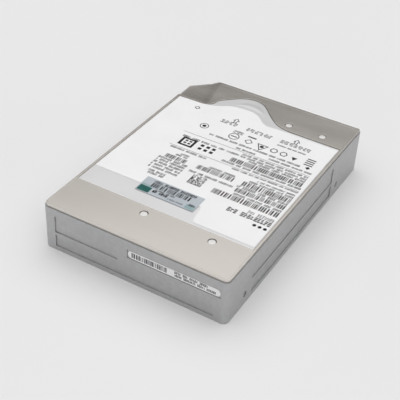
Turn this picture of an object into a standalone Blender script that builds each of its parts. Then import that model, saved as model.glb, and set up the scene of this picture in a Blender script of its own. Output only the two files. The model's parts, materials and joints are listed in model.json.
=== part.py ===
"""Hard disk drive of the 3.5-inch form factor, sealed for helium under a welded lid.

The drive is built as it comes apart on a bench: a cast base, a gasket, an inner cover and an outer
lid, with the disc stack on its spindle, the head stack on its pivot and the board underneath.

Frame: the origin is the centre of the footprint on the bottom face. +Y points to the connector end,
+Z to the label. Sizes are in millimetres, and each shape is scaled to metres as it is made.
"""

import math

import bmesh
import bpy
from mathutils import Matrix

MM = 0.001

# Form factor
LENGTH = 147.0
WIDTH = 101.6
HEIGHT = 26.1
FAR = LENGTH / 2
NEAR = -LENGTH / 2
SIDE = WIDTH / 2
FRONT_RADIUS = 3.0
REAR_RADIUS = 1.5
CORNER_CUT = 12.5  # the far left corner is cut off at 45 degrees by this much
CORNER_CUT_BOTTOM = 16.0
SIDE_HOLE_HEIGHT = 6.35
SIDE_HOLES_FROM_FAR = (28.5, 130.1)
BOTTOM_HOLES_FROM_FAR = (41.28, 117.48)
BOTTOM_HOLE_SPACING = 95.25
MOUNT_HOLE_RADIUS = 1.7
SIDE_HOLE_DEPTH = 3.6
BOTTOM_HOLE_DEPTH = 4.0

# Levels of the casing, from the bottom up
BOARD_POCKET_TOP = 5.2
FLOOR = 6.6
LEDGE = 22.0
GASKET_BOTTOM = 22.05
GASKET_TOP = 22.45
COVER_BOTTOM = 22.5
COVER_TOP = 23.3
RIM_TOP = 24.65
LID_BOTTOM = 24.7
SHELF_TOP = 25.2
RECESS_FLOOR = 25.6
FILM_BOTTOM = 25.65
FILM_TOP = 25.75
PAPER_BOTTOM = 25.8
PAPER_TOP = 25.9
STICKER_BOTTOM = 25.95
STICKER_TOP = 26.05
RIM_WALL = 1.0
LID_INSET = 0.5
GAP = 0.3

# Disc stack
SPINDLE = (0.0, -22.7)
DISC_RADIUS = 47.5
DISC_BORE = 12.55
DISC_THICKNESS = 0.6
DISC_PITCH = 2.0
DISC_COUNT = 7
DISC_BOTTOM = 8.05
SHROUD_RADIUS = 48.4
HUB_RADIUS = 12.4
HUB_FLANGE_RADIUS = 15.0
HUB_FLANGE = (7.0, 8.0)
HUB_TOP = 20.2
HUB_SKIRT_BOTTOM = 3.2
HUB_WELL_RADIUS = 11.0
HUB_WELL_TOP = 9.6
SPACER_RADIUS = 15.5
MOTOR_CUP_RADIUS = 12.9
MOTOR_CUP_FLOOR = 2.0
MOTOR_SLEEVE_RADIUS = 4.2
MOTOR_SLEEVE_BOTTOM = 2.6
STATOR_TEETH = 9
STATOR_LEVELS = (3.2, 8.2)
SHAFT_RADIUS = 2.5
SHAFT_BOTTOM = 1.1
SHAFT_PLAY = 0.25

# Head stack
PIVOT = (14.0, 32.5)
ARM_DIRECTION = -159.2  # parked on the ramp
ARM_REACH = 33.0
HEAD_REACH = 52.0
TAB_REACH = 54.0
ARM_THICKNESS = 0.8
ARM_COUNT = DISC_COUNT + 1
FIRST_ARM = 7.35
BLOCK_RADIUS = 8.0
BLOCK_BOTTOM = FIRST_ARM - ARM_THICKNESS / 2
BLOCK_TOP = FIRST_ARM + (ARM_COUNT - 1) * DISC_PITCH + ARM_THICKNESS / 2
STACK_MIDDLE = (BLOCK_BOTTOM + BLOCK_TOP) / 2
BEARING_RADII = (3.3, 5.9)
BEARING_LEVELS = (7.2, 21.5)
PIVOT_SHAFT_RADIUS = 3.0
SWAGE_REACH = 30.5
SWAGE_RADIUS = 1.6
SUSPENSION_GAP = 0.03
SUSPENSION_THICKNESS = 0.12
SLIDER_THICKNESS = 0.15
COIL_DIRECTION = ARM_DIRECTION + 180.0
SWING = 34.5
COIL_INNER = 12.0
COIL_OUTER = 29.0
COIL_WINDING = 4.0
COIL_HALF_ANGLE = 19.0
COIL_HALF_THICKNESS = 1.0
FORK_REACH = 20.0
FORK_HALF_THICKNESS = 1.25
NOSE_REACH = 10.8
NOSE_DIRECTION = 110.0
NOSE_HALF_ANGLE = 4.0

# Voice coil motor
YOKE_RADII = (11.5, 29.5)
YOKE_HALF_ANGLE = 47.0
LOWER_YOKE_LEVELS = (7.6, 9.9)
UPPER_YOKE_LEVELS = (18.8, 21.1)
MAGNET_RADII = (14.0, 28.0)
MAGNET_HALF_ANGLE = 30.0
MAGNET_THICKNESS = 2.9
YOKE_POST_AT = 26.5
YOKE_POST_ANGLE = 43.0

# Latch, with its hook where it stands when a shock has swung it in
LATCH_AT = (-4.4, 47.9)
LATCH_HOOK = (8.48, 41.34)
LATCH_REST = 20.0  # how far the lever rests from the nose's path, in degrees
LATCH_POST_RADIUS = 1.2
LATCH_LEVELS = (13.0, 15.7)

# Actuator bay, behind the discs
BAY_SIDE = 46.5
BAY_END = 62.4
BAY_RADIUS = 8.0

# Lid recess and labels, measured from the front edge
RECESS_NEAR = 25.2
RECESS_FAR = 122.3
RECESS_SIDE = 49.0
WAVE_STEPS = 4
LID_DIMPLES = ((-6.4, 20.0), (30.6, 20.1), (16.2, 128.0), (36.0, 128.2))
DIMPLE_RADIUS = 2.1
DIMPLE_FLOOR = 25.75
FRONT_LABEL = ((-2.0, 15.3), (47.0, 19.5))
FRONT_LABEL_RECESS = 0.35

# Screws, board and connector
COVER_SCREWS = ((-44.5, -67.0), (44.5, -67.0), (44.5, 67.5), (-30.0, 67.5))
COVER_SCREW_TIP = 17.4
BOARD_SCREWS = ((-38.5, 7.5), (38.5, 7.5), (38.5, 56.0), (-38.5, 56.0))
BOARD_SCREW_HEAD = 0.35
BOARD_SCREW_TIP = 5.2
SCREW_HEAD = 0.8
BOARD_POCKET = ((-44.0, -1.0), (44.0, 64.4))
BOARD_LEVELS = (1.2, 2.2)
PAD_LEVELS = (4.3, 4.9)
BOSS_RADIUS = 3.2
CONNECTOR_SIDE = (-47.0, -4.0)
CONNECTOR_NOTCH_START = 64.6
CONNECTOR_NOTCH_TOP = 8.4
FEEDTHROUGH = ((-34.0, 38.5), (-14.0, 45.5))
FEEDTHROUGH_LEVELS = (3.0, 8.4)
RELIEF_DEPTH = 0.8
MOTOR_BOSS_RADIUS = 18.0
RIB_WIDTH = 1.6
# Direction in degrees and outer end of each rib that runs out from the boss
RIBS = ((0.0, 40.0), (45.0, 25.0), (135.0, 25.0), (180.0, 40.0), (230.0, 40.0), (310.0, 40.0))

# Shallow pockets in the walls: two in each side, between the screw pads, and two in the front
WALL_POCKET_DEPTH = 0.5
SIDE_POCKETS = (((-50.0, 11.0), (38.5, 20.5)), ((-50.0, 2.5), (38.5, 9.5)))
FRONT_POCKETS = (((-44.0, 11.0), (-8.0, 20.5)), ((-44.0, 2.5), (44.0, 9.5)))


def clear_scene():
    """Removes the objects that a new file starts with."""
    for obj in list(bpy.data.objects):
        bpy.data.objects.remove(obj)


def new_collection(name):
    collection = bpy.data.collections.new(name)
    bpy.context.scene.collection.children.link(collection)
    return collection


def paint(name, colour, roughness, metallic=0.0):
    """A Principled material."""
    material = bpy.data.materials.new(name)
    material.use_nodes = True
    shader = material.node_tree.nodes["Principled BSDF"]
    shader.inputs["Base Color"].default_value = (*colour, 1.0)
    shader.inputs["Roughness"].default_value = roughness
    shader.inputs["Metallic"].default_value = metallic
    return material


clear_scene()
PARTS = new_collection("hard_disk_drive")
TOOLS = new_collection("cutters")

CAST = paint("cast_aluminium", (0.52, 0.53, 0.55), 0.45, 1.0)
LID = paint("lid_metal", (0.62, 0.59, 0.55), 0.38, 1.0)
COVER = paint("cover_metal", (0.66, 0.66, 0.67), 0.35, 1.0)
RUBBER = paint("gasket_rubber", (0.03, 0.03, 0.03), 0.8)
FILM = paint("grey_film", (0.60, 0.60, 0.61), 0.35)
PAPER = paint("label_white", (0.86, 0.86, 0.88), 0.5)
STICKER = paint("sticker_blue_grey", (0.42, 0.50, 0.55), 0.3)
BOARD = paint("board_green", (0.02, 0.10, 0.07), 0.4)
FOAM = paint("insulator_foam", (0.05, 0.05, 0.05), 0.9)
CHIP = paint("chip_black", (0.02, 0.02, 0.02), 0.5)
PLASTIC = paint("black_plastic", (0.03, 0.03, 0.03), 0.4)
IVORY = paint("ramp_plastic", (0.75, 0.72, 0.62), 0.5)
STEEL = paint("screw_steel", (0.50, 0.50, 0.52), 0.3, 1.0)
YOKE = paint("yoke_nickel", (0.62, 0.62, 0.60), 0.3, 1.0)
MAGNET = paint("magnet_nickel", (0.45, 0.45, 0.46), 0.3, 1.0)
DISC = paint("disc_mirror", (0.80, 0.80, 0.82), 0.05, 1.0)
MACHINED = paint("machined_aluminium", (0.74, 0.74, 0.76), 0.25, 1.0)
COPPER = paint("coil_copper", (0.72, 0.32, 0.15), 0.35, 1.0)
FLEX = paint("flex_amber", (0.55, 0.28, 0.05), 0.35)
FILTER = paint("filter_white", (0.85, 0.85, 0.83), 0.9)


def new_object(name, mesh, material, at=(0.0, 0.0), turn=0.0):
    """Links a mesh as a part, or as a tool shape where it has no material."""
    obj = bpy.data.objects.new(name, mesh)
    if material is None:
        TOOLS.objects.link(obj)
        obj.hide_render = True
        obj.display_type = "WIRE"
    else:
        PARTS.objects.link(obj)
        mesh.materials.append(material)
    obj.location = (at[0] * MM, at[1] * MM, 0.0)
    obj.rotation_euler = (0.0, 0.0, math.radians(turn))
    return obj


def mesh_from(shape, name):
    """Scales a bmesh from millimetres to metres and writes it to a mesh."""
    bmesh.ops.scale(shape, vec=(MM, MM, MM), verts=shape.verts)
    bmesh.ops.recalc_face_normals(shape, faces=shape.faces)
    mesh = bpy.data.meshes.new(name)
    shape.to_mesh(mesh)
    shape.free()
    return mesh


def box(name, low, high, material=None, at=(0.0, 0.0), turn=0.0):
    """A block between two corners."""
    shape = bmesh.new()
    bmesh.ops.create_cube(shape, size=1.0)
    size = [b - a for a, b in zip(low, high)]
    bmesh.ops.scale(shape, vec=size, verts=shape.verts)
    middle = [(a + b) / 2 for a, b in zip(low, high)]
    bmesh.ops.translate(shape, vec=middle, verts=shape.verts)
    return new_object(name, mesh_from(shape, name), material, at, turn)


def plate(name, outlines, bottom, top, material=None, at=(0.0, 0.0), turn=0.0):
    """A flat piece: the first outline is its edge, and any others are holes in it."""
    curve = bpy.data.curves.new(name, "CURVE")
    curve.dimensions = "2D"
    curve.fill_mode = "BOTH"
    curve.extrude = (top - bottom) / 2 * MM
    for outline in outlines:
        spline = curve.splines.new("POLY")
        spline.points.add(len(outline) - 1)
        for point, (x, y) in zip(spline.points, outline):
            point.co = (x * MM, y * MM, 0.0, 1.0)
        spline.use_cyclic_u = True
    drawn = bpy.data.objects.new(name + "_outline", curve)
    drawn.location.z = (top + bottom) / 2 * MM
    TOOLS.objects.link(drawn)
    graph = bpy.context.evaluated_depsgraph_get()
    mesh = bpy.data.meshes.new_from_object(drawn.evaluated_get(graph))
    mesh.transform(drawn.matrix_world)
    bpy.data.objects.remove(drawn)
    bpy.data.curves.remove(curve)
    shape = bmesh.new()
    shape.from_mesh(mesh)
    bmesh.ops.remove_doubles(shape, verts=shape.verts, dist=1e-7)
    bmesh.ops.recalc_face_normals(shape, faces=shape.faces)
    shape.to_mesh(mesh)
    shape.free()
    return new_object(name, mesh, material, at, turn)


def turned(name, profile, steps, material=None, at=(0.0, 0.0)):
    """A ring or a shaft: a closed (radius, height) profile, clockwise, turned about Z."""
    shape = bmesh.new()
    points = [shape.verts.new((radius, 0.0, height)) for radius, height in profile]
    on_axis = profile[0][0] == 0.0
    ends = points[1:] if on_axis else points[1:] + points[:1]
    for first, second in zip(points, ends):
        shape.edges.new((first, second))
    bmesh.ops.scale(shape, vec=(MM, MM, MM), verts=shape.verts)
    mesh = bpy.data.meshes.new(name)
    shape.to_mesh(mesh)
    shape.free()
    obj = new_object(name, mesh, material, at)
    screw = obj.modifiers.new("turn", "SCREW")
    screw.steps = steps
    screw.render_steps = steps
    screw.use_merge_vertices = True
    screw.merge_threshold = 0.00001
    return obj


def cylinder(name, radius, bottom, top, steps, material=None, at=(0.0, 0.0)):
    """A plain round bar along Z."""
    shape = bmesh.new()
    bmesh.ops.create_cone(
        shape, cap_ends=True, segments=steps, radius1=radius, radius2=radius, depth=top - bottom
    )
    bmesh.ops.translate(shape, vec=(0.0, 0.0, (top + bottom) / 2), verts=shape.verts)
    return new_object(name, mesh_from(shape, name), material, at)


def side_pin(name, start, end, y, z, radius):
    """A tool for a hole along X, from start to end."""
    shape = bmesh.new()
    bmesh.ops.create_cone(
        shape, cap_ends=True, segments=12, radius1=radius, radius2=radius, depth=end - start
    )
    bmesh.ops.rotate(shape, matrix=Matrix.Rotation(math.pi / 2, 3, "Y"), verts=shape.verts)
    bmesh.ops.translate(shape, vec=((start + end) / 2, y, z), verts=shape.verts)
    return new_object(name, mesh_from(shape, name), None)


def boolean(part, tool, operation):
    modifier = part.modifiers.new(tool.name, "BOOLEAN")
    modifier.operation = operation
    modifier.solver = "EXACT"
    modifier.object = tool


def cut(part, *tools):
    for tool in tools:
        boolean(part, tool, "DIFFERENCE")


def join(part, *tools):
    for tool in tools:
        boolean(part, tool, "UNION")


def arc(centre, radius, start, end, steps):
    """Points on an arc, with angles in degrees, counter-clockwise where end is the larger."""
    found = []
    for i in range(steps + 1):
        angle = math.radians(start + (end - start) * i / steps)
        found.append((centre[0] + radius * math.cos(angle), centre[1] + radius * math.sin(angle)))
    return found


def circle(centre, radius, steps):
    return arc(centre, radius, 0.0, 360.0, steps)[:-1]


def polar(radius, angle):
    """The point at this distance and angle in degrees from the origin."""
    return radius * math.cos(math.radians(angle)), radius * math.sin(math.radians(angle))


def rounded_box(low, high, radius, steps=4):
    """A rectangle with round corners."""
    (x0, y0), (x1, y1) = low, high
    corners = (
        ((x0 + radius, y0 + radius), 180.0),
        ((x1 - radius, y0 + radius), 270.0),
        ((x1 - radius, y1 - radius), 0.0),
        ((x0 + radius, y1 - radius), 90.0),
    )
    found = []
    for centre, start in corners:
        found += arc(centre, radius, start, start + 90.0, steps)
    return found


def smooth(points, steps):
    """A Catmull-Rom curve through the points, with the given steps between two of them."""
    padded = [points[0], *points, points[-1]]
    found = []
    for a, b, c, d in zip(padded, padded[1:], padded[2:], padded[3:]):
        for i in range(steps):
            t = i / steps
            found.append(
                tuple(
                    0.5 * (2 * q + (r - p) * t + (2 * p - 5 * q + 4 * r - s) * t**2
                           + (3 * q - p - 3 * r + s) * t**3)
                    for p, q, r, s in zip(a, b, c, d)
                )
            )
    return found + [points[-1]]


def from_front(points):
    """Points measured from the front edge, in the drive's frame."""
    return [(x, y + NEAR) for x, y in points]


def sector(inner, outer, middle, half_angle, steps):
    """A ring sector about the origin."""
    start, end = middle - half_angle, middle + half_angle
    return arc((0, 0), outer, start, end, steps) + arc((0, 0), inner, end, start, steps)


def base_outline():
    """The drive's plan under its cut corner, from the front left corner round."""
    front, rear = FRONT_RADIUS, REAR_RADIUS
    points = arc((-SIDE + front, NEAR + front), front, 180, 270, 4)
    points += arc((SIDE - front, NEAR + front), front, 270, 360, 4)
    points += arc((SIDE - rear, FAR - rear), rear, 0, 90, 3)
    return points + arc((-SIDE + rear, FAR - rear), rear, 90, 180, 3)


def case_outline(inset):
    """The plan above the cut corner, moved in by inset on every side."""
    near, far, side = NEAR + inset, FAR - inset, SIDE - inset
    cut_line = FAR + SIDE - CORNER_CUT - inset * math.sqrt(2)
    front = FRONT_RADIUS - inset
    rear = max(REAR_RADIUS - inset, 0.5)
    points = arc((-side + front, near + front), front, 180, 270, 4)
    points += arc((side - front, near + front), front, 270, 360, 4)
    points += arc((side - rear, far - rear), rear, 0, 90, 3)
    return points + [(far - cut_line, far), (-side, cut_line - side)]


def cavity_outline(grow=0.0):
    """The disc shroud and the actuator bay as one outline."""
    radius, side, end = SHROUD_RADIUS + grow, BAY_SIDE + grow, BAY_END + grow
    corner = BAY_RADIUS + grow
    meet = math.degrees(math.acos(side / radius))
    points = arc(SPINDLE, radius, 180 - meet, 360 + meet, 40)
    points += arc((side - corner, end - corner), corner, 0, 90, 5)
    return points + arc((-side + corner, end - corner), corner, 90, 180, 5)


def recess_far_edge():
    """The wave of the lid recess, from its right end to its left end."""
    wave = [
        (20.0, 122.4), (15.0, 123.1), (10.0, 125.3), (5.0, 129.4), (0.0, 134.6),
        (-4.0, 138.4), (-8.0, 140.2), (-12.0, 140.4), (-16.0, 139.2), (-20.0, 136.6),
        (-26.5, 130.3), (-28.3, 127.5), (-28.7, 125.0), (-30.5, 122.6), (-34.0, 121.3),
    ]  # fmt: skip
    return [(RECESS_SIDE, RECESS_FAR), *smooth(wave, WAVE_STEPS), (-RECESS_SIDE, 121.0)]


def paper_far_edge():
    """The wave of the paper label, from its right end to its left end."""
    wave = [
        (20.0, 120.9), (12.0, 120.6), (7.5, 120.4), (4.5, 121.2), (2.0, 122.9),
        (-1.0, 125.9), (-5.0, 128.1), (-10.0, 128.6), (-16.0, 128.1), (-20.0, 126.8),
        (-24.0, 124.2), (-28.0, 122.0), (-34.0, 120.6),
    ]  # fmt: skip
    return [(RECESS_SIDE - 0.5, 120.7), *smooth(wave, WAVE_STEPS), (-RECESS_SIDE + 0.5, 120.3)]


def plain_screw(name, at, head, tip, head_radius, shank_radius):
    """A screw along Z, from the outer face of its head to its tip."""
    way = 1 if tip > head else -1
    chamfer = 0.3
    profile = [
        (0.0, 0.0), (head_radius - 1.5 * chamfer, 0.0), (head_radius, chamfer),
        (head_radius, SCREW_HEAD), (shank_radius, SCREW_HEAD), (shank_radius, abs(tip - head)),
        (0.0, abs(tip - head)),
    ]  # fmt: skip
    points = [(radius, head + way * depth) for radius, depth in profile]
    return turned(name, points[::-way], 12, STEEL, at)


def base_casting():
    """The cast tub: shroud, actuator bay, motor cup, board pocket and every screw hole."""
    past = 2.0  # how far a tool runs past the surface that it cuts
    base = plate("base_casting", [base_outline()], 0.0, RIM_TOP, CAST)
    corner = [
        (-SIDE + CORNER_CUT + past, FAR + past), (-SIDE - past, FAR - CORNER_CUT - past),
        (-SIDE - CORNER_CUT, FAR + CORNER_CUT),
    ]  # fmt: skip
    cut(base, plate("corner_tool", [corner], CORNER_CUT_BOTTOM, HEIGHT))
    cut(base, plate("rim_tool", [case_outline(RIM_WALL)], LEDGE, HEIGHT))
    cut(base, plate("cavity_tool", [cavity_outline()], FLOOR, HEIGHT))
    post_top = LATCH_LEVELS[1] + 1.3
    join(base, cylinder("latch_post", LATCH_POST_RADIUS, FLOOR - 1, post_top, 10, at=LATCH_AT))
    cut(base, cylinder("cup_tool", MOTOR_CUP_RADIUS, MOTOR_CUP_FLOOR, FLOOR + 1, 32, at=SPINDLE))
    seat = SHAFT_BOTTOM - GAP
    cut(base, cylinder("shaft_hole_tool", SHAFT_RADIUS + GAP, seat, FLOOR, 16, at=SPINDLE))
    underside(base)
    mounting_holes(base)
    wall_pockets(base)
    for i, at in enumerate(COVER_SCREWS):
        cut(base, cylinder(f"cover_hole_{i}", 1.5, COVER_SCREW_TIP - 0.4, HEIGHT, 10, at=at))
    (x0, z0), (x1, z1) = FRONT_LABEL
    margin = 0.4
    low = (x0 - margin, NEAR - past, z0 - margin)
    high = (x1 + margin, NEAR + FRONT_LABEL_RECESS, z1 + margin)
    cut(base, box("front_label_tool", low, high))
    (x0, y0), (x1, y1) = FEEDTHROUGH
    window = (x0 - GAP, y0 - GAP, BOARD_POCKET_TOP - 1), (x1 + GAP, y1 + GAP, FLOOR + 1)
    cut(base, box("feedthrough_tool", *window))


def underside(base):
    """The board pocket with its bosses, the connector notch and the relief under the motor."""
    (x0, y0), (x1, y1) = BOARD_POCKET
    below = -1.0
    boss_bottom = BOARD_LEVELS[1] + GAP
    edge = rounded_box((x0, y0), (x1, y1), 3.0)
    cut(base, plate("board_tool", [edge], below, boss_bottom))
    bosses = [circle(at, BOSS_RADIUS, 12) for at in BOARD_SCREWS]
    inner = rounded_box((x0 + 0.2, y0 + 0.2), (x1 - 0.2, y1 - 0.2), 3.0)
    cut(base, plate("pocket_tool", [inner, *bosses], boss_bottom - 0.5, BOARD_POCKET_TOP))
    for i, at in enumerate(BOARD_SCREWS):
        cut(base, cylinder(f"boss_hole_{i}", 1.4, 1.0, BOARD_SCREW_TIP + GAP, 10, at=at))
    left, right = CONNECTOR_SIDE
    start = CONNECTOR_NOTCH_START
    cut(base, box("notch_tool", (left, start, below), (right, FAR + 1, CONNECTOR_NOTCH_TOP)))
    cut(base, box("notch_way_tool", (left + 5, start - 2, below), (right - 5, FAR, 5.0)))
    relief = rounded_box((x0, NEAR + 4.0), (x1, y0 - 2.0), 4.0)
    boss = circle(SPINDLE, MOTOR_BOSS_RADIUS, 28)
    cut(base, plate("relief_tool", [relief, boss], below, RELIEF_DEPTH))
    ring = [circle((0, 0), MOTOR_BOSS_RADIUS - 1.5, 28), circle((0, 0), MOTOR_BOSS_RADIUS - 3.5, 28)]
    cut(base, plate("motor_ring_tool", ring, below, 1.2, at=SPINDLE))
    for i, (direction, end) in enumerate(RIBS):
        low = (MOTOR_BOSS_RADIUS - 0.7, -RIB_WIDTH / 2, 0.2)
        high = (end, RIB_WIDTH / 2, RELIEF_DEPTH + 0.5)
        join(base, box(f"rib_{i}", low, high, None, SPINDLE, direction))


def mounting_holes(base):
    """Two holes in each side and two in each rail of the bottom."""
    for side in (-1, 1):
        name = "left" if side < 0 else "right"
        for i, from_far in enumerate(SIDE_HOLES_FROM_FAR):
            start, end = sorted((side * (SIDE - SIDE_HOLE_DEPTH), side * (SIDE + 1)))
            y, z = FAR - from_far, SIDE_HOLE_HEIGHT
            cut(base, side_pin(f"side_hole_{name}_{i}", start, end, y, z, MOUNT_HOLE_RADIUS))
        for i, from_far in enumerate(BOTTOM_HOLES_FROM_FAR):
            at = (side * BOTTOM_HOLE_SPACING / 2, FAR - from_far)
            tool = f"bottom_hole_{name}_{i}"
            cut(base, cylinder(tool, MOUNT_HOLE_RADIUS, -1.0, BOTTOM_HOLE_DEPTH, 12, at=at))


def wall_pockets(base):
    """The shallow pockets of the sides and of the front."""
    for side in (-1, 1):
        name = "left" if side < 0 else "right"
        x0, x1 = sorted((side * (SIDE - WALL_POCKET_DEPTH), side * (SIDE + 1)))
        for i, ((y0, z0), (y1, z1)) in enumerate(SIDE_POCKETS):
            cut(base, box(f"pocket_{name}_{i}", (x0, y0, z0), (x1, y1, z1)))
    for i, ((x0, z0), (x1, z1)) in enumerate(FRONT_POCKETS):
        cut(base, box(f"front_pocket_{i}", (x0, NEAR - 1, z0), (x1, NEAR + WALL_POCKET_DEPTH, z1)))


def covers():
    """Gasket, inner cover with its screws, and the outer lid with its recess."""
    ring = [cavity_outline(0.95), cavity_outline(0.25)]
    plate("cover_gasket", ring, GASKET_BOTTOM, GASKET_TOP, RUBBER)
    holes = [circle(at, 1.5, 12) for at in COVER_SCREWS]
    plate("inner_cover", [case_outline(RIM_WALL + GAP), *holes], COVER_BOTTOM, COVER_TOP, COVER)
    for i, at in enumerate(COVER_SCREWS):
        head = COVER_TOP + 0.05 + SCREW_HEAD
        plain_screw(f"cover_screw_{i + 1}", at, head, COVER_SCREW_TIP, 2.3, 1.2)
    lid = plate("outer_lid", [case_outline(LID_INSET)], LID_BOTTOM, HEIGHT, LID)
    cut(lid, plate("recess_tool", [recess_outline(0.0)], RECESS_FLOOR, HEIGHT + 1))
    cut(lid, shelf_tool())
    for i, (x, y) in enumerate(LID_DIMPLES):
        cut(lid, cylinder(f"dimple_{i}", DIMPLE_RADIUS, DIMPLE_FLOOR, HEIGHT + 1, 16, at=(x, y + NEAR)))


def recess_outline(inset):
    """The recess: straight in front, a wave behind."""
    side = RECESS_SIDE - inset
    near = [(-side, RECESS_NEAR + inset), (side, RECESS_NEAR + inset)]
    far = [(max(-side, min(side, x)), y - inset) for x, y in recess_far_edge()]
    return from_front(near + far)


def shelf_tool():
    """Lowers the lid's cut corner: a ramp down from a slanting line, then a flat shelf."""
    shape = bmesh.new()
    ramp_line = from_front([(-37.0, 150.0), (-31.0, 121.6)])
    drop_line = from_front([(-42.5, 150.0), (-36.5, 121.6)])
    back_line = from_front([(-60.0, 150.0), (-60.0, 121.6)])
    far, near = [], []
    for row, i in ((far, 0), (near, 1)):
        for line, height in ((ramp_line, HEIGHT), (drop_line, SHELF_TOP), (back_line, SHELF_TOP)):
            row.append(shape.verts.new((*line[i], height)))
        for line, height in ((back_line, HEIGHT + 2), (ramp_line, HEIGHT + 2)):
            row.append(shape.verts.new((*line[i], height)))
    shape.faces.new(far)
    shape.faces.new(reversed(near))
    count = len(far)
    for i in range(count):
        after = (i + 1) % count
        shape.faces.new((far[i], near[i], near[after], far[after]))
    return new_object("shelf_tool", mesh_from(shape, "shelf_tool"), None)


def labels():
    """The film in the recess, the paper label on it, the sticker over both, and the front label."""
    plate("label_film", [recess_outline(0.25)], FILM_BOTTOM, FILM_TOP, FILM)
    edge = RECESS_SIDE - 0.5
    near = [
        (-edge, 39.4), (12.0, 39.4), (12.8, 39.2), (13.4, 38.7), (13.7, 37.9), (15.0, 29.6),
        (15.3, 28.6), (15.9, 27.8), (16.7, 27.35), (17.7, 27.2), (edge, 27.2),
    ]  # fmt: skip
    plate("label_paper", [from_front(near + paper_far_edge())], PAPER_BOTTOM, PAPER_TOP, PAPER)
    sticker = from_front([(-21.0, 33.8), (12.0, 33.6), (12.0, 45.6), (-21.0, 45.9)])
    plate("security_sticker", [sticker], STICKER_BOTTOM, STICKER_TOP, STICKER)
    (x0, z0), (x1, z1) = FRONT_LABEL
    box("front_label", (x0, NEAR + 0.15, z0), (x1, NEAR + 0.3, z1), PAPER)


def electronics():
    """The board with its chip, pad and screws, the interface connector and the sealed feedthrough."""
    (x0, y0), (x1, y1) = BOARD_POCKET
    edge = [
        (x0 + GAP, y0 + 6), (x0 + 6, y0 + GAP), (-16.0, y0 + GAP), (-12.0, y0 + 6),
        (12.0, y0 + 6), (16.0, y0 + GAP), (x1 - 6, y0 + GAP), (x1 - GAP, y0 + 6),
        (x1 - GAP, y1 - 4), (x1 - 4, y1 - GAP), (CONNECTOR_SIDE[1] - 1.2, y1 - GAP),
        (CONNECTOR_SIDE[1] - 1.2, 62.0), (CONNECTOR_SIDE[0] + 7, 62.0), (x0 + GAP, 58.0),
    ]  # fmt: skip
    holes = [circle(at, 1.4, 12) for at in BOARD_SCREWS]
    plate("circuit_board", [edge, *holes], *BOARD_LEVELS, BOARD)
    for i, at in enumerate(BOARD_SCREWS):
        plain_screw(f"board_screw_{i + 1}", at, BOARD_SCREW_HEAD, BOARD_SCREW_TIP, 2.4, 1.1)
    chip_bottom = BOARD_LEVELS[1] + 0.05
    box("controller_chip", (4.0, 14.0, chip_bottom), (22.0, 32.0, chip_bottom + 1.65), CHIP)
    pad = rounded_box((-32.0, 2.0), (32.0, 36.0), 3.0, 3)
    window = rounded_box((-26.0, 8.0), (-6.0, 20.0), 1.5, 2)
    plate("insulator_pad", [pad, window], *PAD_LEVELS, FOAM)
    (x0, y0), (x1, y1) = FEEDTHROUGH
    bottom, top = FEEDTHROUGH_LEVELS
    box("feedthrough_connector", (x0, y0, bottom), (x1, y1, top), CHIP)
    interface_connector()


def interface_connector():
    """The serial plug: a body, a blade that carries the contacts, and a guide at each end."""
    x0, x1 = CONNECTOR_SIDE[0] + 0.5, CONNECTOR_SIDE[1] - 0.5
    back, face = CONNECTOR_NOTCH_START + GAP, CONNECTOR_NOTCH_START + 2.6
    blade_end, guide_end = FAR - 0.7, FAR - 0.3
    bottom, top = 0.4, CONNECTOR_NOTCH_TOP - 0.4
    inside = face - 1.2  # where each joined block ends inside the body
    body = box("interface_connector", (x0, back, bottom), (x1, face, top), PLASTIC)
    join(body, box("blade", (x0 + 3.9, inside, 3.2), (x1 - 3.9, blade_end, 4.4)))
    join(body, box("guide_left", (x0, inside, bottom), (x0 + 2.5, guide_end, top)))
    join(body, box("guide_right", (x1 - 2.5, inside, bottom), (x1, guide_end, top)))
    join(body, box("tail", (x0 + 6.9, back - 2.6, 1.2), (x1 - 4.9, inside, 4.6)))


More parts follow.
